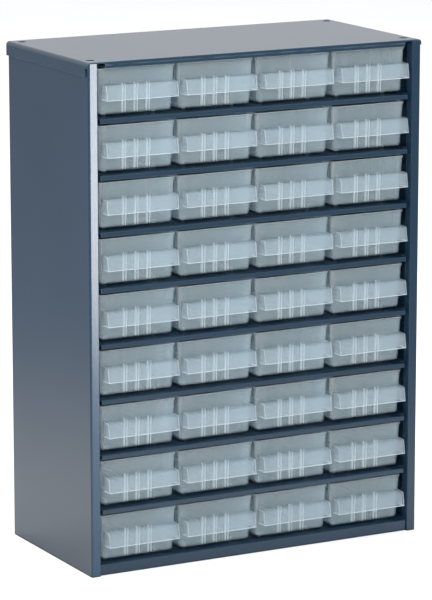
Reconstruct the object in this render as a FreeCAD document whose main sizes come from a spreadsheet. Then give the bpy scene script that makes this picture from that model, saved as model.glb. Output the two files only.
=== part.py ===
import FreeCAD, Part
import os
import re

import Sketcher

# A steel cabinet with four columns and nine rows of pull-out drawers.
# Millimetres. The front faces -Y, +X is to the right and +Z is up. The origin is the middle of the
# footprint on the floor, counting the drawer handles that stand a little proud of the front.

COLUMNS = 4
ROWS = 9

# ---- driving dimensions: alias, value, what it is ----
SIZES = (
    ("cabinet_width", 306.0, "over the side skirts of the top cover"),
    ("cabinet_depth", 150.0, "front plane of the uprights to the back of the top cover"),
    ("cabinet_height", 417.0, "floor to the top face"),
    ("sheet", 1.0, "steel sheet with its powder coat"),
    ("row_pitch", 136 / 3, "shelf to shelf: nine rows over the bottom rail"),
    ("column_pitch", 71.0, "drawer to drawer"),
    ("upright_width", 8.0, "front flange of a side panel"),
    ("upright_return", 8.0, "the flange's inner edge, turned back"),
    ("rear_flange", 10.0, "rear flange of a side panel"),
    ("skirt_drop", 11.5, "side and rear skirts of the top cover"),
    ("skirt_setback", 4.0, "front end of a side skirt behind the front plane"),
    ("cover_bend", 3.0, "outer bend radius at the cover's side edges"),
    ("cover_lip_drop", 5.2, "front lip of the top cover"),
    ("cover_lip_width", 274.0, "front lip between its end notches"),
    ("cover_lip_setback", 0.5, "lip wall behind the front plane, which its bead reaches"),
    ("bead_height", 1.0, "bead along the cover's lip"),
    ("stack_hole_radius", 3.5, "stacking holes in the top"),
    ("stack_hole_x", 143.5, "stacking holes from the middle"),
    ("stack_hole_front", 14.0, "front stacking holes behind the front plane"),
    ("stack_hole_back", 10.0, "rear stacking holes from the back"),
    ("rail_height", 9.0, "bottom rail, and the lowest shelf face above the floor"),
    ("rail_width", 287.0, "bottom rail between the uprights, which it nearly touches"),
    ("lip_drop", 4.0, "front lip of a shelf"),
    ("lip_setback", 2.0, "shelf lips behind the front plane"),
    ("lip_return", 8.0, "depth of a lip's returned bottom"),
    ("lip_width", 282.0, "shelf lips between the uprights"),
    ("lip_bend", 0.8, "outer bend radius of a lip"),
    ("fold_gap", 0.2, "slack between folded sheets"),
    ("shelf_flange", 6.0, "side and rear flanges of a shelf"),
    ("wall_hole_radius", 2.75, "wall fixing holes in the back panel"),
    ("wall_hole_x", 120.0, "wall fixing holes from the middle"),
    ("wall_hole_low", 60.0, "lower wall fixing holes above the floor"),
    ("wall_hole_high", 360.0, "upper wall fixing holes above the floor"),
    ("drawer_rim_width", 69.0, "over the rim"),
    ("drawer_lean", 1.75, "each wall's foot inside its top"),
    ("drawer_depth", 133.0, "front wall to back wall"),
    ("drawer_height", 37.0, "underside of the floor to the rim"),
    ("drawer_setback", 6.0, "rim of the front wall behind the front plane"),
    ("wall", 1.2, "moulded wall"),
    ("rim_overhang", 0.75, "rim beyond the side wall"),
    ("rim_thickness", 1.6, "height of the rim's edge"),
    ("corner", 3.2, "outer radius of a drawer's upright corners"),
    ("floor_edge", 2.6, "outer radius round a drawer's floor"),
    ("handle_width", 63.5, "grip hood"),
    ("handle_low", 12.5, "lower edge of the hood"),
    ("handle_high", 24.5, "top of the hood"),
    ("handle_front", 24.0, "height of the hood's top front edge"),
    ("handle_reach_top", 9.0, "hood's top front edge ahead of the rim"),
    ("handle_reach", 11.0, "hood's lower edge ahead of the rim"),
    ("handle_edge", 1.2, "rounding of the hood's top edge"),
    ("slot_pitch", 10.7, "pairs of slot ribs across the drawer"),
    ("slot_gap", 2.2, "between the two ribs of a pair"),
    ("rib", 0.8, "width and depth of a rib"),
    ("divider_pitch", 5.0, "ribs along the side walls"),
    ("divider_start", 6.0, "first side rib behind the front wall"),
    ("divider_top_gap", 1.5, "side ribs end below the rim"),
    ("skid_height", 2.15, "runner under the floor"),
    ("skid_width", 3.0, "runner"),
    ("skid_x", 22.0, "runners from the drawer's middle"),
    ("skid_front", 15.0, "runners start behind the drawer's front"),
    ("skid_back", 7.0, "runners end ahead of the drawer's back"),
    ("skid_clearance", 0.1, "shelf to runner"),
    ("stop_width", 8.0, "stop lug"),
    ("stop_depth", 2.5, "stop lug"),
    ("stop_x", 24.0, "stop lugs from the drawer's middle"),
    ("stop_rise", 4.05, "stop lug above the rim"),
)
SIDE_RIBS = 25
SLOTS = 3
NEAR = 0.01

doc = FreeCAD.newDocument("PartsOrganizer")
sheet = doc.addObject("Spreadsheet::Sheet", "sizes")
for row, (alias, size, meaning) in enumerate(SIZES, 1):
    sheet.set(f"A{row}", meaning)
    sheet.set(f"B{row}", str(size))
    sheet.setAlias(f"B{row}", alias)
doc.recompute()

ALIASES = {alias for alias, size, meaning in SIZES}

# Planes that several sub-parts share, written in terms of the sheet.
FRONT = "(handle_reach - drawer_setback - cabinet_depth) / 2"
BACK = f"({FRONT} + cabinet_depth)"
HALF = "cabinet_width / 2"
SIDE = f"({HALF} - sheet)"
TOP_FACE = "cabinet_height"
UNDER_TOP = "(cabinet_height - sheet)"
FLANGE_BACK = f"({BACK} - sheet - fold_gap)"
PANEL_BACK = f"({FLANGE_BACK} - sheet - fold_gap)"
PANEL_FRONT = f"({PANEL_BACK} - sheet)"
LIP = f"({FRONT} + lip_setback)"
LIP_END = f"({LIP} + lip_return)"
SHELF_HALF = f"({SIDE} - sheet - fold_gap)"
WALL_HALF = "(drawer_rim_width / 2 - rim_overhang)"


# ---- helpers ----
def bound(text):
    """The expression with each alias pointing at the sheet."""
    return re.sub(r"[a-z_]+", lambda word: f"sizes.{word[0]}" if word[0] in ALIASES else word[0], text)


def value(text):
    """What an expression comes to now."""
    return float(sheet.evalExpression(bound(text)))


def new_body(label):
    body = doc.addObject("PartDesign::Body", label)
    body.Label = label
    return body


def new_sketch(body, name, plane, offset="0"):
    """An empty sketch on one of the body's own planes, moved along the plane's normal."""
    sketch = body.newObject("Sketcher::SketchObject", name)
    support = next(f for f in body.Origin.OriginFeatures if f.Role == plane)
    sketch.AttachmentSupport = [(support, "")]
    sketch.MapMode = "FlatFace"
    sketch.setExpression("AttachmentOffset.Base.z", bound(offset))
    return sketch


def pin_point(sketch, geometry, point, x, y):
    """Ties one point of a sketch to two expressions."""
    for kind, text in (("DistanceX", x), ("DistanceY", y)):
        index = sketch.addConstraint(Sketcher.Constraint(kind, -1, 1, geometry, point, value(text)))
        sketch.setExpression(f"Constraints[{index}]", bound(text))


def outline(sketch, points):
    """Adds a closed outline of straight edges with every corner tied to the sheet."""
    corners = [FreeCAD.Vector(value(x), value(y), 0) for x, y in points]
    ends = corners[1:] + corners[:1]
    lines = sketch.addGeometry([Part.LineSegment(a, b) for a, b in zip(corners, ends)])
    for line, following in zip(lines, lines[1:] + lines[:1]):
        sketch.addConstraint(Sketcher.Constraint("Coincident", line, 2, following, 1))
    for line, (x, y) in zip(lines, points):
        pin_point(sketch, line, 1, x, y)


def rectangle(sketch, left, right, low, high):
    outline(sketch, ((left, low), (right, low), (right, high), (left, high)))


def circle(sketch, x, y, radius):
    centre = FreeCAD.Vector(value(x), value(y), 0)
    normal = FreeCAD.Vector(0, 0, 1)
    geometry = sketch.addGeometry(Part.Circle(centre, normal, value(radius)))
    pin_point(sketch, geometry, 3, x, y)
    index = sketch.addConstraint(Sketcher.Constraint("Radius", geometry, value(radius)))
    sketch.setExpression(f"Constraints[{index}]", bound(radius))


def extrude(body, kind, name, sketch, length, side="One side", backwards=False):
    """A Pad or a Pocket. backwards turns it against the direction it takes by itself."""
    feature = body.newObject(f"PartDesign::{kind}", name)
    feature.Profile = sketch
    feature.SideType = side
    feature.Reversed = backwards
    feature.setExpression("Length", bound(length))
    return feature


def repeat(body, name, features, sketch, axis, spacing, count, backwards=False):
    """Copies features along one axis of a sketch."""
    pattern = body.newObject("PartDesign::LinearPattern", name)
    pattern.Originals = features
    pattern.Direction = (sketch, [axis])
    pattern.Reversed = backwards
    pattern.Mode = "Extent"
    pattern.setExpression("Length", bound(f"({count} - 1) * {spacing}"))
    pattern.Occurrences = count
    body.Tip = pattern
    return pattern


def round_edges(body, name, chosen, radius):
    """Fillets the edges of the body's last feature whose end points chosen accepts."""
    doc.recompute()
    base = body.Tip
    names = []
    for number, edge in enumerate(base.Shape.Edges, 1):
        if chosen([vertex.Point for vertex in edge.Vertexes]):
            names.append(f"Edge{number}")
    fillet = body.newObject("PartDesign::Fillet", name)
    fillet.Base = (base, names)
    fillet.setExpression("Radius", bound(radius))
    return fillet


def near(number, wanted):
    return abs(number - wanted) < NEAR


def along(*places):
    """Chooses edges whose ends all share a place's coordinates, None leaving one free."""
    wanted = [[None if text is None else value(text) for text in place] for place in places]

    def chosen(ends):
        return any(
            all(w is None or near(end[i], w) for end in ends for i, w in enumerate(place))
            for place in wanted
        )

    return chosen


def rising(half_width, low, high):
    """Chooses the corner edges that lean out from one height to another, half_width from the middle."""
    half, foot, top = value(half_width), value(low), value(high)

    def chosen(ends):
        ends = sorted(ends, key=lambda end: end.z)
        heights_match = near(ends[0].z, foot) and near(ends[-1].z, top)
        return heights_match and near(abs(ends[-1].x), half)

    return chosen


def place(body, x, y, z):
    """Puts a body's own origin at the given place."""
    for axis, text in (("x", x), ("y", y), ("z", z)):
        body.setExpression(f"Placement.Base.{axis}", bound(text))


# ---- the cabinet ----
def side_panel(label, side):
    """A folded side: outer wall, front upright with its edge turned back, and a rear flange."""
    outer = f"{side} * {SIDE}"
    inner = f"{side} * ({SIDE} - sheet)"
    edge = f"{side} * ({SIDE} - upright_width)"
    edge_back = f"{side} * ({SIDE} - upright_width + sheet)"
    rear_edge = f"{side} * ({SIDE} - rear_flange)"
    body = new_body(label)
    fold = new_sketch(body, f"{label}_fold", "XY_Plane")
    outline(fold, (
        (outer, FRONT),
        (edge, FRONT),
        (edge, f"{FRONT} + upright_return"),
        (edge_back, f"{FRONT} + upright_return"),
        (edge_back, f"{FRONT} + sheet"),
        (inner, f"{FRONT} + sheet"),
        (inner, f"{FLANGE_BACK} - sheet"),
        (rear_edge, f"{FLANGE_BACK} - sheet"),
        (rear_edge, FLANGE_BACK),
        (outer, FLANGE_BACK),
    ))
    extrude(body, "Pad", f"{label}_wall", fold, UNDER_TOP)
    corners = along((outer, FRONT, None), (outer, FLANGE_BACK, None))
    round_edges(body, f"{label}_bends", corners, "1.5 * sheet")
    round_edges(body, f"{label}_edge", along((edge, FRONT, None)), "0.9 * sheet")
    return body


def shelf(label, level, lip_width, lip_drop, flange):
    """A folded shelf: flat sheet, front lip with a returned bottom, and side and rear flanges."""
    body = new_body(label)
    profile = new_sketch(body, f"{label}_profile", "YZ_Plane")
    outline(profile, (
        (LIP, "0"),
        (f"{PANEL_FRONT} - fold_gap", "0"),
        (f"{PANEL_FRONT} - fold_gap", f"-{flange}"),
        (f"{PANEL_FRONT} - fold_gap - sheet", f"-{flange}"),
        (f"{PANEL_FRONT} - fold_gap - sheet", "-sheet"),
        (f"{LIP} + sheet", "-sheet"),
        (f"{LIP} + sheet", f"-{lip_drop} + sheet"),
        (LIP_END, f"-{lip_drop} + sheet"),
        (LIP_END, f"-{lip_drop}"),
        (LIP, f"-{lip_drop}"),
    ))
    extrude(body, "Pad", f"{label}_sheet", profile, f"2 * {SHELF_HALF}", side="Symmetric")
    notches = new_sketch(body, f"{label}_notches", "XY_Plane")
    behind_upright = f"{FRONT} + upright_return + 2 * sheet"
    for side in (-1, 1):
        rectangle(notches, f"{side} * {lip_width} / 2", f"{side} * {HALF}", FRONT, behind_upright)
    extrude(body, "Pocket", f"{label}_corners", notches, "2 * rail_height", side="Symmetric")
    sides = new_sketch(body, f"{label}_sides", "XZ_Plane", f"-({behind_upright})")
    for side in (-1, 1):
        rectangle(sides, f"{side} * ({SHELF_HALF} - sheet)", f"{side} * {SHELF_HALF}", f"-{flange}", "0")
    flange_length = f"{PANEL_FRONT} - fold_gap - ({behind_upright})"
    extrude(body, "Pad", f"{label}_flanges", sides, flange_length, backwards=True)
    lip_edges = along((None, LIP, "0"), (None, LIP, f"-{lip_drop}"))
    round_edges(body, f"{label}_bends", lip_edges, "lip_bend")
    place(body, "0", "0", level)
    return body


def back_panel():
    """A flat sheet inside the rear flanges, with four holes for fixing the cabinet to a wall."""
    body = new_body("back_panel")
    face = new_sketch(body, "back_outline", "XZ_Plane", f"-{PANEL_BACK}")
    rectangle(face, f"-{SHELF_HALF}", SHELF_HALF, "sheet", f"{UNDER_TOP} - fold_gap")
    extrude(body, "Pad", "back_sheet", face, "sheet")
    holes = new_sketch(body, "back_hole_centres", "XZ_Plane", f"-{PANEL_BACK}")
    for side in (-1, 1):
        for level in ("wall_hole_low", "wall_hole_high"):
            circle(holes, f"{side} * wall_hole_x", level, "wall_hole_radius")
    extrude(body, "Pocket", "back_holes", holes, "4 * sheet", side="Symmetric")
    return body


def top_cover():
    """A folded cover: top with side and rear skirts, a beaded front lip and four stacking holes."""
    body = new_body("top_cover")
    start = f"({FRONT} + cover_lip_setback)"
    low = f"({TOP_FACE} - skirt_drop)"
    fold = new_sketch(body, "cover_fold", "XZ_Plane", f"-{start}")
    outline(fold, (
        (f"-{HALF}", low),
        (f"-{SIDE}", low),
        (f"-{SIDE}", UNDER_TOP),
        (SIDE, UNDER_TOP),
        (SIDE, low),
        (HALF, low),
        (HALF, TOP_FACE),
        (f"-{HALF}", TOP_FACE),
    ))
    extrude(body, "Pad", "cover_sheet", fold, f"{BACK} - {start}", backwards=True)
    trim = new_sketch(body, "cover_skirt_ends", "YZ_Plane")
    rectangle(trim, FRONT, f"{FRONT} + skirt_setback", f"{low} - sheet", f"{TOP_FACE} - 1.5 * cover_bend")
    extrude(body, "Pocket", "cover_skirt_trim", trim, "2 * cabinet_width", side="Symmetric")
    side_edges = along((f"-{HALF}", None, TOP_FACE), (HALF, None, TOP_FACE))
    round_edges(body, "cover_side_bends", side_edges, "cover_bend")
    rear = new_sketch(body, "cover_rear_skirt", "YZ_Plane")
    rectangle(rear, f"{BACK} - sheet", BACK, low, UNDER_TOP)
    extrude(body, "Pad", "cover_rear", rear, f"2 * {SIDE}", side="Symmetric")
    lip_low = f"({TOP_FACE} - cover_lip_drop)"
    lip = new_sketch(body, "cover_lip_profile", "YZ_Plane")
    outline(lip, (
        (start, UNDER_TOP),
        (start, lip_low),
        (LIP_END, lip_low),
        (LIP_END, f"{lip_low} + sheet"),
        (f"{start} + sheet", f"{lip_low} + sheet"),
        (f"{start} + sheet", UNDER_TOP),
    ))
    extrude(body, "Pad", "cover_lip", lip, "cover_lip_width", side="Symmetric")
    lip_edges = along((None, start, TOP_FACE), (None, start, lip_low))
    round_edges(body, "cover_lip_bends", lip_edges, "lip_bend")
    bead = new_sketch(body, "cover_bead_profile", "YZ_Plane")
    bead_middle = f"({lip_low} + {TOP_FACE}) / 2"
    outline(bead, (
        (start, f"{bead_middle} - bead_height / 2"),
        (FRONT, f"{bead_middle} - bead_height / 4"),
        (FRONT, f"{bead_middle} + bead_height / 4"),
        (start, f"{bead_middle} + bead_height / 2"),
    ))
    extrude(body, "Pad", "cover_bead", bead, "cover_lip_width", side="Symmetric")
    holes = new_sketch(body, "cover_hole_centres", "XY_Plane", TOP_FACE)
    for side in (-1, 1):
        for y in (f"{FRONT} + stack_hole_front", f"{BACK} - stack_hole_back"):
            circle(holes, f"{side} * stack_hole_x", y, "stack_hole_radius")
    extrude(body, "Pocket", "cover_holes", holes, "4 * sheet", side="Symmetric")
    return body


# ---- the drawers ----
def inset(z):
    """How far a drawer wall's outer face stands inside its top at a height above the floor."""
    return f"(drawer_lean * (1 - ({z}) / drawer_height))"


def plan(sketch, margin):
    """The outline of a drawer seen from above, a margin inside the top of its walls."""
    half = f"({WALL_HALF} - {margin})"
    rectangle(sketch, f"-{half}", half, margin, f"drawer_depth - {margin}")


def drawer_tub(body):
    """The tub: four walls that lean out, rounded up the corners and round the floor."""
    lean_angle = bound("atan(drawer_lean / drawer_height)")
    foot = new_sketch(body, "drawer_foot_plan", "XY_Plane")
    plan(foot, "drawer_lean")
    block = extrude(body, "Pad", "drawer_block", foot, "drawer_height")
    block.setExpression("TaperAngle", lean_angle)
    hollow_foot = new_sketch(body, "drawer_hollow_plan", "XY_Plane", "wall")
    plan(hollow_foot, f"({inset('wall')} + wall)")
    hollow = extrude(body, "Pocket", "drawer_hollow", hollow_foot, "drawer_height", backwards=True)
    hollow.setExpression("TaperAngle", lean_angle)
    outer_corners = rising(WALL_HALF, "0", "drawer_height")
    round_edges(body, "drawer_outer_corners", outer_corners, "corner")
    inner_corners = rising(f"{WALL_HALF} - wall", "wall", "drawer_height")
    round_edges(body, "drawer_inner_corners", inner_corners, "corner - wall")
    round_edges(body, "drawer_outer_floor_edge", along((None, None, "0")), "floor_edge")
    round_edges(body, "drawer_inner_floor_edge", along((None, None, "wall")), "floor_edge - wall")


def drawer_rim(body):
    """A flat rim round the top, which overhangs the side walls."""
    ring = new_sketch(body, "drawer_rim_plan", "XY_Plane", "drawer_height - rim_thickness")
    rim_half = "drawer_rim_width / 2"
    rectangle(ring, f"-{rim_half}", rim_half, "0", "drawer_depth")
    plan(ring, "wall")
    extrude(body, "Pad", "drawer_rim", ring, "rim_thickness")
    corners = along(*((f"{side} * {rim_half}", y, None) for side in (-1, 1) for y in ("0", "drawer_depth")))
    round_edges(body, "drawer_rim_corners", corners, "corner")


def drawer_handle(body):
    """A hood across the front wall, hollow and open beneath for the fingertips."""
    within_wall = "(drawer_lean + wall) / 2"
    hood = new_sketch(body, "drawer_hood_profile", "YZ_Plane")
    outline(hood, (
        (within_wall, "handle_low"),
        ("-handle_reach", "handle_low"),
        ("-handle_reach_top", "handle_front"),
        (within_wall, "handle_high"),
    ))
    extrude(body, "Pad", "drawer_hood", hood, "handle_width", side="Symmetric")
    grip = new_sketch(body, "drawer_grip_profile", "YZ_Plane")
    outline(grip, (
        (inset("handle_low"), "handle_low"),
        ("wall - handle_reach", "handle_low"),
        ("wall - handle_reach_top", "handle_front - wall"),
        (inset("handle_high - wall"), "handle_high - wall"),
    ))
    extrude(body, "Pocket", "drawer_grip", grip, "handle_width - 2 * wall", side="Symmetric")
    top_edge = along((None, "-handle_reach_top", "handle_front"))
    round_edges(body, "drawer_hood_edge", top_edge, "handle_edge")


def drawer_slot_ribs(body):
    """Three pairs of upright ribs inside the front and back walls, slots for lengthwise dividers."""
    ribs = []
    for name, start in (("left", "-slot_gap / 2 - rib"), ("right", "slot_gap / 2")):
        profile = new_sketch(body, f"drawer_{name}_slot_rib", "YZ_Plane", f"{start} - slot_pitch")
        for wall_face, inward in ((inset("z"), 1), (f"(drawer_depth - {inset('z')})", -1)):
            low_face = wall_face.replace("(z)", "(wall / 2)")
            high_face = wall_face.replace("(z)", "(handle_high)")
            outline(profile, (
                (f"{low_face} + {inward} * wall / 2", "wall / 2"),
                (f"{low_face} + {inward} * (wall + rib)", "wall / 2"),
                (f"{high_face} + {inward} * (wall + rib)", "handle_high"),
                (f"{high_face} + {inward} * wall / 2", "handle_high"),
            ))
        ribs.append(extrude(body, "Pad", f"drawer_{name}_slot_ribs", profile, "rib"))
    repeat(body, "drawer_slot_ribs", ribs, profile, "N_Axis", "slot_pitch", SLOTS)


def drawer_side_ribs(body):
    """A row of upright ribs down each side wall, which hold crosswise dividers."""
    top = "(drawer_height - divider_top_gap)"
    pair = new_sketch(body, "drawer_side_rib_section", "XZ_Plane", "-divider_start")
    for side in (-1, 1):
        corners = []
        foot_and_top = (("floor_edge", "rib"), (top, "rib"), (top, "-wall / 2"), ("floor_edge", "-wall / 2"))
        for z, depth in foot_and_top:
            corners.append((f"{side} * ({WALL_HALF} - {inset(z)} - wall - ({depth}))", z))
        foot = f"({WALL_HALF} - {inset('floor_edge')} - wall - rib)"
        corners.append((f"{side} * {foot}", "wall / 2"))
        outline(pair, corners)
    ribs = extrude(body, "Pad", "drawer_side_rib_pair", pair, "rib", backwards=True)
    repeat(body, "drawer_side_ribs", [ribs], pair, "N_Axis", "divider_pitch", SIDE_RIBS, backwards=True)


def drawer_skids_and_stops(body):
    """Two runners under the floor, and two lugs on the back wall that end the drawer's travel."""
    skids = new_sketch(body, "drawer_skid_section", "XZ_Plane", "-skid_front")
    stops = new_sketch(body, "drawer_stop_section", "XZ_Plane", "stop_depth - drawer_depth")
    for side in (-1, 1):
        skid_inner = f"{side} * (skid_x - skid_width / 2)"
        skid_outer = f"{side} * (skid_x + skid_width / 2)"
        rectangle(skids, skid_inner, skid_outer, "-skid_height", "wall / 2")
        stop_inner = f"{side} * (stop_x - stop_width / 2)"
        stop_outer = f"{side} * (stop_x + stop_width / 2)"
        stop_low, stop_high = "drawer_height - rim_thickness", "drawer_height + stop_rise"
        rectangle(stops, stop_inner, stop_outer, stop_low, stop_high)
    skid_length = "drawer_depth - skid_front - skid_back"
    extrude(body, "Pad", "drawer_skids", skids, skid_length, backwards=True)
    extrude(body, "Pad", "drawer_stops", stops, "stop_depth", backwards=True)


def drawer(label):
    """One whole drawer. Its own origin is the foot of its front wall, in the middle."""
    body = new_body(label)
    drawer_tub(body)
    drawer_rim(body)
    drawer_handle(body)
    drawer_slot_ribs(body)
    drawer_side_ribs(body)
    drawer_skids_and_stops(body)
    return body


def clone(source, label):
    """A second body with the same solid."""
    body = new_body(label)
    base = doc.addObject("PartDesign::FeatureBase", f"{label}_solid")
    base.BaseFeature = source
    body.Group = [base]
    body.Tip = base
    return body


def drawers():
    """The whole grid. Row 1 is the top one, and column 1 is at the left."""
    pattern = None
    made = []
    for row in range(1, ROWS + 1):
        for column in range(1, COLUMNS + 1):
            label = f"drawer_r{row}c{column}"
            body = clone(pattern, label) if pattern else drawer(label)
            pattern = pattern or body
            across = f"({column} - ({COLUMNS} + 1) / 2) * column_pitch"
            up = f"rail_height + ({ROWS} - {row}) * row_pitch + skid_clearance + skid_height"
            place(body, across, f"{FRONT} + drawer_setback", up)
            made.append(body)
    return made


def check(parts):
    """Stops if any feature failed or any sub-part isn't one sound solid."""
    for item in doc.Objects:
        if "Invalid" in item.State or "Error" in item.State:
            raise RuntimeError(f"{item.Name} failed: {item.State}")
    for part in parts:
        shape = part.Shape
        if shape.isNull() or not shape.isValid() or len(shape.Solids) != 1:
            raise RuntimeError(f"{part.Label} is not one sound solid")


sub_parts = [
    side_panel("side_panel_left", -1),
    side_panel("side_panel_right", 1),
    top_cover(),
    back_panel(),
    shelf("bottom_panel", "rail_height", "rail_width", "rail_height", "rail_height"),
]
for number in range(1, ROWS):
    shelf_level = f"rail_height + ({ROWS} - {number}) * row_pitch"
    sub_parts.append(shelf(f"shelf_{number}", shelf_level, "lip_width", "lip_drop", "shelf_flange"))
sub_parts += drawers()
doc.recompute()
check(sub_parts)

os.makedirs("parts", exist_ok=True)
for part in sub_parts:
    part.Shape.exportStep(f"parts/{part.Label}.step")
    box = part.Shape.BoundBox
    print(f"{part.Label}: volume {part.Shape.Volume:.0f} mm3, {len(part.Shape.Faces)} faces,",
          f"x {box.XMin:.2f} to {box.XMax:.2f}, y {box.YMin:.2f} to {box.YMax:.2f},",
          f"z {box.ZMin:.2f} to {box.ZMax:.2f}")
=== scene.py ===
import math

import bpy
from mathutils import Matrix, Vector


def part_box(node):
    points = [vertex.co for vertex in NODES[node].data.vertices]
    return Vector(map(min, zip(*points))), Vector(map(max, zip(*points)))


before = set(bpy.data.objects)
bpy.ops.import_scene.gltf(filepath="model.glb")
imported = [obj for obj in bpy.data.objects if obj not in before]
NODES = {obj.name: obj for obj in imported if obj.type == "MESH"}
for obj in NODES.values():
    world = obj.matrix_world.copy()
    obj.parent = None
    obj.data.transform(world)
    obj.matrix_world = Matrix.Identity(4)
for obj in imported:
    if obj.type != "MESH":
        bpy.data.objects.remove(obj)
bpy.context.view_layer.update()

# A steel cabinet of small pull-out drawers, shown on a pale floor. Metres. The front faces -Y.

DRAWERS = sorted(name for name in NODES if name.startswith("drawer_"))
STEEL = sorted(name for name in NODES if not name.startswith("drawer_"))
FLOOR_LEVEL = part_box("side_panel_left")[0].z

# ---- a drawer's own layout, measured from its front, its middle and its runners ----
DRAWER_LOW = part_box("drawer_r9c1")[0]
COLUMN_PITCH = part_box("drawer_r9c2")[0].x - DRAWER_LOW.x
ROW_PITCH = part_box("drawer_r8c1")[0].z - DRAWER_LOW.z
DRAWER_FRONT = DRAWER_LOW.y
RUNNER_HEIGHT = 0.00215
HOOD_START, HOOD_END, WALL_END = -0.001, 0.0103, 0.0160
HOOD_HALF = 0.03175
HOOD_SIDE = (HOOD_HALF - 0.0007, HOOD_HALF - 0.0001)
HOOD_HEM = (0.01, 0.0129)
CORNER_START = 0.0315
RIM_START = 0.0363
SLOT_PITCH = 0.0107
SLOT_GAP = 0.0022
SLOT_HALF = 0.0003
SLOT_SPAN = (0.001, 0.0245)

# ---- how much the plastic hides, and what it takes from the light that it lets through ----
WALL_OPACITY, WALL_STREAKS = 0.26, 0.04
HOOD_OPACITY, HOOD_STREAKS = 0.22, 0.02
# HIGHLIGHT_OPACITY is how much the painted highlights on ribs, edges and rims hide.
HIGHLIGHT_OPACITY = 0.62
INNER_SHARE = 0.4
GLOW_SHARE = 0.4
CLEAR_TINT = (0.945, 0.96, 0.97, 1)
STREAK_SHIFT = 0.37

# ---- camera ----
VIEW_YAW = math.radians(28.25)
VIEW_PITCH = math.radians(11.85)
VIEW_DISTANCE = 2.836
VIEW_HEIGHT = 0.2
LENS = 204.7
SENSOR = 36.0
FAR_CLIP = 50
FLOOR_SIZE = 12
CLEAR_LAYERS = 48


# ---- node helpers ----
def new_material(name):
    """An empty node material and its node tree."""
    material = bpy.data.materials.new(name)
    material.use_nodes = True
    tree = material.node_tree
    tree.nodes.clear()
    return material, tree


def add(tree, kind, inputs=None, **settings):
    """Adds a shader node. inputs sets or links its sockets by name or number."""
    node = tree.nodes.new(kind)
    for name, setting in settings.items():
        setattr(node, name, setting)
    for key, source in (inputs or {}).items():
        if isinstance(source, bpy.types.NodeSocket):
            tree.links.new(source, node.inputs[key])
        else:
            node.inputs[key].default_value = source
    return node


def output(tree, shader):
    add(tree, "ShaderNodeOutputMaterial", {"Surface": shader.outputs[0]})


def object_axes(tree):
    place = add(tree, "ShaderNodeTexCoord").outputs["Object"]
    return add(tree, "ShaderNodeSeparateXYZ", {0: place}).outputs


def object_noise(tree, scale, detail=2.0, stretch=(1, 1, 1)):
    """Noise in metres of the object's own space, so it rides with the piece."""
    place = add(tree, "ShaderNodeTexCoord")
    mapping = add(tree, "ShaderNodeMapping", {"Vector": place.outputs["Object"], "Scale": stretch})
    noise = add(tree, "ShaderNodeTexNoise", {
        "Vector": mapping.outputs[0], "Scale": scale, "Detail": detail, "Roughness": 0.5})
    return noise.outputs[0]


def ramp(tree, factor, stops):
    node = add(tree, "ShaderNodeValToRGB", {"Fac": factor})
    elements = node.color_ramp.elements
    while len(elements) < len(stops):
        elements.new(0.5)
    for element, (position, colour) in zip(elements, stops):
        element.position = position
        element.color = (*colour, 1)
    return node.outputs[0]


def rescale(tree, factor, low, high, from_low=0.0, from_high=1.0):
    node = add(tree, "ShaderNodeMapRange", {
        "Value": factor, "From Min": from_low, "From Max": from_high, "To Min": low, "To Max": high})
    return node.outputs[0]


def calculate(tree, operation, *values):
    return add(tree, "ShaderNodeMath", dict(enumerate(values)), operation=operation).outputs[0]


def product(tree, first, *others):
    for other in others:
        first = calculate(tree, "MULTIPLY", first, other)
    return first


def largest(tree, first, *others):
    for other in others:
        first = calculate(tree, "MAXIMUM", first, other)
    return first


def band(tree, coordinate, low, high, soft=0.0002):
    """1 between low and high, with soft sides, and 0 elsewhere."""
    rise = rescale(tree, coordinate, 0.0, 1.0, low - soft, low + soft)
    fall = rescale(tree, coordinate, 1.0, 0.0, high - soft, high + soft)
    return product(tree, rise, fall)


def blend(tree, factor, first, second):
    """A colour between two, each a socket or three numbers."""
    first, second = (
        (*colour, 1) if isinstance(colour, tuple) else colour for colour in (first, second))
    node = add(tree, "ShaderNodeMix", {"Factor": factor, 6: first, 7: second}, data_type="RGBA")
    return node.outputs[2]


def blend_shaders(tree, factor, first, second):
    return add(tree, "ShaderNodeMixShader", {0: factor, 1: first.outputs[0], 2: second.outputs[0]})


def bump(tree, height, strength, distance):
    return add(tree, "ShaderNodeBump", {
        "Height": height, "Strength": strength, "Distance": distance}).outputs[0]


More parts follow.
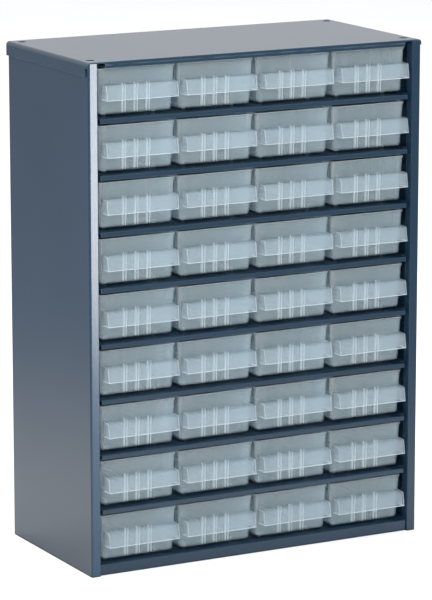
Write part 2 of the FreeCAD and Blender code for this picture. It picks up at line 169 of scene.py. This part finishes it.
# ---- materials ----
def powder_coat():
    """Dark blue powder coat: satin, with fine orange peel and uneven gloss, a painted highlight
    along its edges and painted shade in its folds."""
    material, tree = new_material("blue_powder_coat")
    cloud = object_noise(tree, 9, detail=3)
    colour = ramp(tree, cloud, ((0.3, (0.007, 0.022, 0.042)), (0.7, (0.010, 0.027, 0.050))))
    # Painted highlight: rounded edges and bends turn paler, broken up by noise.
    bevel = add(tree, "ShaderNodeBevel", {"Radius": 0.0007}, samples=6)
    geometry = add(tree, "ShaderNodeNewGeometry")
    likeness = add(tree, "ShaderNodeVectorMath", {
        0: bevel.outputs[0], 1: geometry.outputs["Normal"]}, operation="DOT_PRODUCT")
    turn = rescale(tree, likeness.outputs["Value"], 1.0, 0.0, 0.8, 0.99)
    highlight_breakup = rescale(tree, object_noise(tree, 60, detail=4), 0.15, 1.0, 0.35, 0.65)
    painted_edge_highlight = blend(tree, product(tree, turn, highlight_breakup), colour, (0.10, 0.16, 0.22))
    grain = object_noise(tree, 900, detail=2)
    peel = object_noise(tree, 420, detail=1.5)
    paint = add(tree, "ShaderNodeBsdfPrincipled", {
        "Base Color": painted_edge_highlight, "Roughness": rescale(tree, grain, 0.2, 0.3),
        "Normal": bump(tree, peel, 0.08, 0.0004), "IOR": 1.44})
    # Painted shade: folds, seams and recesses turn near black wherever ambient occlusion finds them.
    nook = add(tree, "ShaderNodeAmbientOcclusion", {"Distance": 0.003}, samples=6).outputs["AO"]
    crevice_shade = rescale(tree, nook, 1.0, 0.0, 0.3, 0.8)
    painted_shade = add(tree, "ShaderNodeBsdfDiffuse", {"Color": (0.001, 0.006, 0.014, 1)})
    output(tree, blend_shaders(tree, crevice_shade, paint, painted_shade))
    return material


def slot_lines(tree, across):
    """The two edges of each of the three divider slots behind the front wall."""
    lines = 0.0
    for slot in (-1, 0, 1):
        for edge in (-1, 1):
            middle = slot * SLOT_PITCH + edge * SLOT_GAP / 2
            line = band(tree, across, middle - SLOT_HALF, middle + SLOT_HALF)
            lines = calculate(tree, "ADD", lines, line)
    return lines


def highlit_parts(tree, across, up, in_wall, in_hood):
    """Painted highlights, partly also thicker plastic: slot ribs, the hood's edges, the rim and the
    corners.
    """
    slots = product(tree, slot_lines(tree, across), product(tree, in_wall, band(tree, up, *SLOT_SPAN)))
    half = calculate(tree, "ABSOLUTE", across)
    ends = band(tree, half, *HOOD_SIDE)
    hem = band(tree, up, *HOOD_HEM)
    hood_edges = product(tree, 0.7, product(tree, in_hood, largest(tree, ends, hem)))
    rim = product(tree, 0.5, band(tree, up, RIM_START, 1))
    corners = product(tree, in_wall, band(tree, half, CORNER_START, 1, soft=0.0006), 0.45)
    return largest(tree, slots, hood_edges, rim, corners)


def milky_plastic():
    """Clear, slightly milky plastic, with fine upright streaks and painted highlights on ribs, rims
    and edges.
    """
    material, tree = new_material("milky_polypropylene")
    axes = object_axes(tree)
    columns = calculate(tree, "DIVIDE", axes[0], COLUMN_PITCH)
    across = product(
        tree, calculate(tree, "SUBTRACT", calculate(tree, "FRACT", columns), 0.5), COLUMN_PITCH)
    rise = calculate(tree, "SUBTRACT", axes[2], DRAWER_LOW.z + RUNNER_HEIGHT)
    rows = calculate(tree, "DIVIDE", rise, ROW_PITCH)
    up = product(tree, calculate(tree, "FRACT", rows), ROW_PITCH)
    behind = calculate(tree, "SUBTRACT", axes[1], DRAWER_FRONT)
    in_wall = band(tree, behind, HOOD_END, WALL_END)
    in_hood = band(tree, behind, HOOD_START, HOOD_END)
    front = band(tree, behind, HOOD_START, WALL_END)
    # pale holds the painted highlights on ribs, hood edges, rim and corners, partly thicker plastic.
    pale = highlit_parts(tree, across, up, in_wall, in_hood)

    row_shift = product(tree, calculate(tree, "FLOOR", rows), STREAK_SHIFT)
    stripes = add(tree, "ShaderNodeCombineXYZ", {0: axes[0], 1: row_shift, 2: 0.0})
    fine = add(tree, "ShaderNodeTexNoise", {
        "Vector": stripes.outputs[0], "Scale": 460.0, "Detail": 2.0, "Roughness": 0.6}).outputs[0]
    streak = rescale(tree, fine, 0.1, 0.9, 0.25, 0.75)
    flow = object_noise(tree, 60, detail=3, stretch=(1, 1, 0.2))
    plain = ramp(tree, flow, ((0.3, (0.53, 0.69, 0.78)), (0.7, (0.63, 0.77, 0.84))))
    tinted = ramp(tree, streak, (
        (0.0, (0.56, 0.71, 0.79)), (0.45, (0.61, 0.76, 0.83)),
        (0.7, (0.68, 0.79, 0.84)), (1.0, (0.69, 0.82, 0.89))))
    colour = blend(tree, front, plain, tinted)
    colour = blend(tree, product(tree, in_hood, 0.8), colour, (0.60, 0.71, 0.79))
    # Painted highlight: ribs, hood edges, rim and corners turn near white.
    colour = blend(tree, pale, colour, (0.90, 0.95, 0.97))

    streaked = product(tree, streak, front)
    wall_opacity = calculate(tree, "ADD", WALL_OPACITY, product(tree, streaked, WALL_STREAKS))
    hood_opacity = calculate(tree, "ADD", HOOD_OPACITY, product(tree, streaked, HOOD_STREAKS))
    base = add(tree, "ShaderNodeMix", {"Factor": in_hood, "A": wall_opacity, "B": hood_opacity})
    inner_face = add(tree, "ShaderNodeNewGeometry").outputs["Backfacing"]
    base = product(tree, base.outputs[0], rescale(tree, inner_face, 1.0, INNER_SHARE))
    # The painted highlights also hide more of what lies behind them.
    opacity = largest(tree, base, product(tree, pale, HIGHLIGHT_OPACITY))

    grain = object_noise(tree, 1500, detail=1)
    waves = object_noise(tree, 150, detail=1)
    surface = add(tree, "ShaderNodeBsdfPrincipled", {
        "Base Color": colour, "Roughness": rescale(tree, grain, 0.16, 0.28),
        "Normal": bump(tree, waves, 0.05, 0.0005), "IOR": 1.49})
    through = add(tree, "ShaderNodeBsdfTranslucent", {"Color": colour})
    clear = add(tree, "ShaderNodeBsdfTransparent", {"Color": CLEAR_TINT})
    milky = blend_shaders(tree, GLOW_SHARE, surface, through)
    output(tree, blend_shaders(tree, opacity, clear, milky))
    return material


def floor_material():
    """A pale floor. Only in reflections is it painted dimmer and bluer, the more so the further it is
    from the cabinet: a painted reflection.
    """
    material, tree = new_material("pale_floor")
    cloud = object_noise(tree, 2, detail=2)
    pale = ramp(tree, cloud, ((0.3, (0.93, 0.93, 0.93)), (0.7, (0.96, 0.96, 0.96))))
    # Painted reflection: glossy rays see the floor dimmer and bluer than it is.
    reflected = add(tree, "ShaderNodeLightPath").outputs["Is Glossy Ray"]
    ahead = rescale(tree, object_axes(tree)[1], 1.0, 0.0, -0.6, 0.2)
    painted_reflection_colour = blend(tree, ahead, (0.40, 0.46, 0.56), (0.2, 0.23, 0.28))
    distance = add(tree, "ShaderNodeVectorMath", {
        0: add(tree, "ShaderNodeTexCoord").outputs["Object"]}, operation="LENGTH").outputs["Value"]
    away = rescale(tree, distance, 0.0, 1.0, 0.3, 0.95)
    colour = blend(tree, product(tree, away, reflected), pale, painted_reflection_colour)
    output(tree, add(tree, "ShaderNodeBsdfPrincipled", {"Base Color": colour, "Roughness": 0.7}))
    return material


def give(names, material):
    for name in names:
        slots = NODES[name].material_slots
        if not slots:
            NODES[name].data.materials.append(material)
        for slot in slots:
            slot.material = material


# ---- stage ----
def floor():
    bpy.ops.mesh.primitive_plane_add(size=FLOOR_SIZE, location=(0, 0, FLOOR_LEVEL))
    plane = bpy.context.object
    plane.name = "studio_floor"
    plane.data.materials.append(floor_material())


def look_at(item, aim):
    item.rotation_euler = (Vector(aim) - item.location).to_track_quat("-Z", "Y").to_euler()


def area_light(name, place, aim, size, power, colour=(1, 1, 1)):
    data = bpy.data.lights.new(name, "AREA")
    data.shape = "RECTANGLE"
    data.size, data.size_y = size
    data.energy = power
    data.color = colour
    lamp = bpy.data.objects.new(name, data)
    bpy.context.scene.collection.objects.link(lamp)
    lamp.location = place
    look_at(lamp, aim)
    return lamp


def studio():
    """A soft sky, a key, a top light, and a card that lights only the left side panel."""
    world = bpy.data.worlds.new("studio")
    bpy.context.scene.world = world
    world.use_nodes = True
    background = world.node_tree.nodes["Background"]
    background.inputs["Color"].default_value = (0.98, 0.99, 1, 1)
    background.inputs["Strength"].default_value = 1.0
    area_light("key", (-0.6, -1.2, 1.0), (0, 0, 0.38), (0.8, 0.8), 22, (1.0, 0.98, 0.96))
    area_light("top", (0.2, 0.3, 2.2), (0, 0, 0.2), (1.6, 1.6), 30)
    card = area_light("card", (0.42, -0.80, 0.20), (-0.15, -0.07, 0.28), (0.5, 0.4), 17)
    panel = bpy.data.collections.new("lit_by_card")
    panel.objects.link(NODES["side_panel_left"])
    card.light_linking.receiver_collection = panel


def camera():
    data = bpy.data.cameras.new("camera")
    data.lens = LENS
    data.sensor_width = SENSOR
    data.clip_end = FAR_CLIP
    item = bpy.data.objects.new("camera", data)
    bpy.context.scene.collection.objects.link(item)
    aim = Vector((0, 0, VIEW_HEIGHT))
    level = math.cos(VIEW_PITCH) * VIEW_DISTANCE
    item.location = aim + Vector((
        -math.sin(VIEW_YAW) * level, -math.cos(VIEW_YAW) * level,
        math.sin(VIEW_PITCH) * VIEW_DISTANCE))
    look_at(item, aim)
    bpy.context.scene.camera = item


give(STEEL, powder_coat())
give(DRAWERS, milky_plastic())
floor()
studio()
camera()
scene = bpy.context.scene
scene.view_settings.view_transform = "Standard"
scene.cycles.transparent_max_bounces = CLEAR_LAYERS
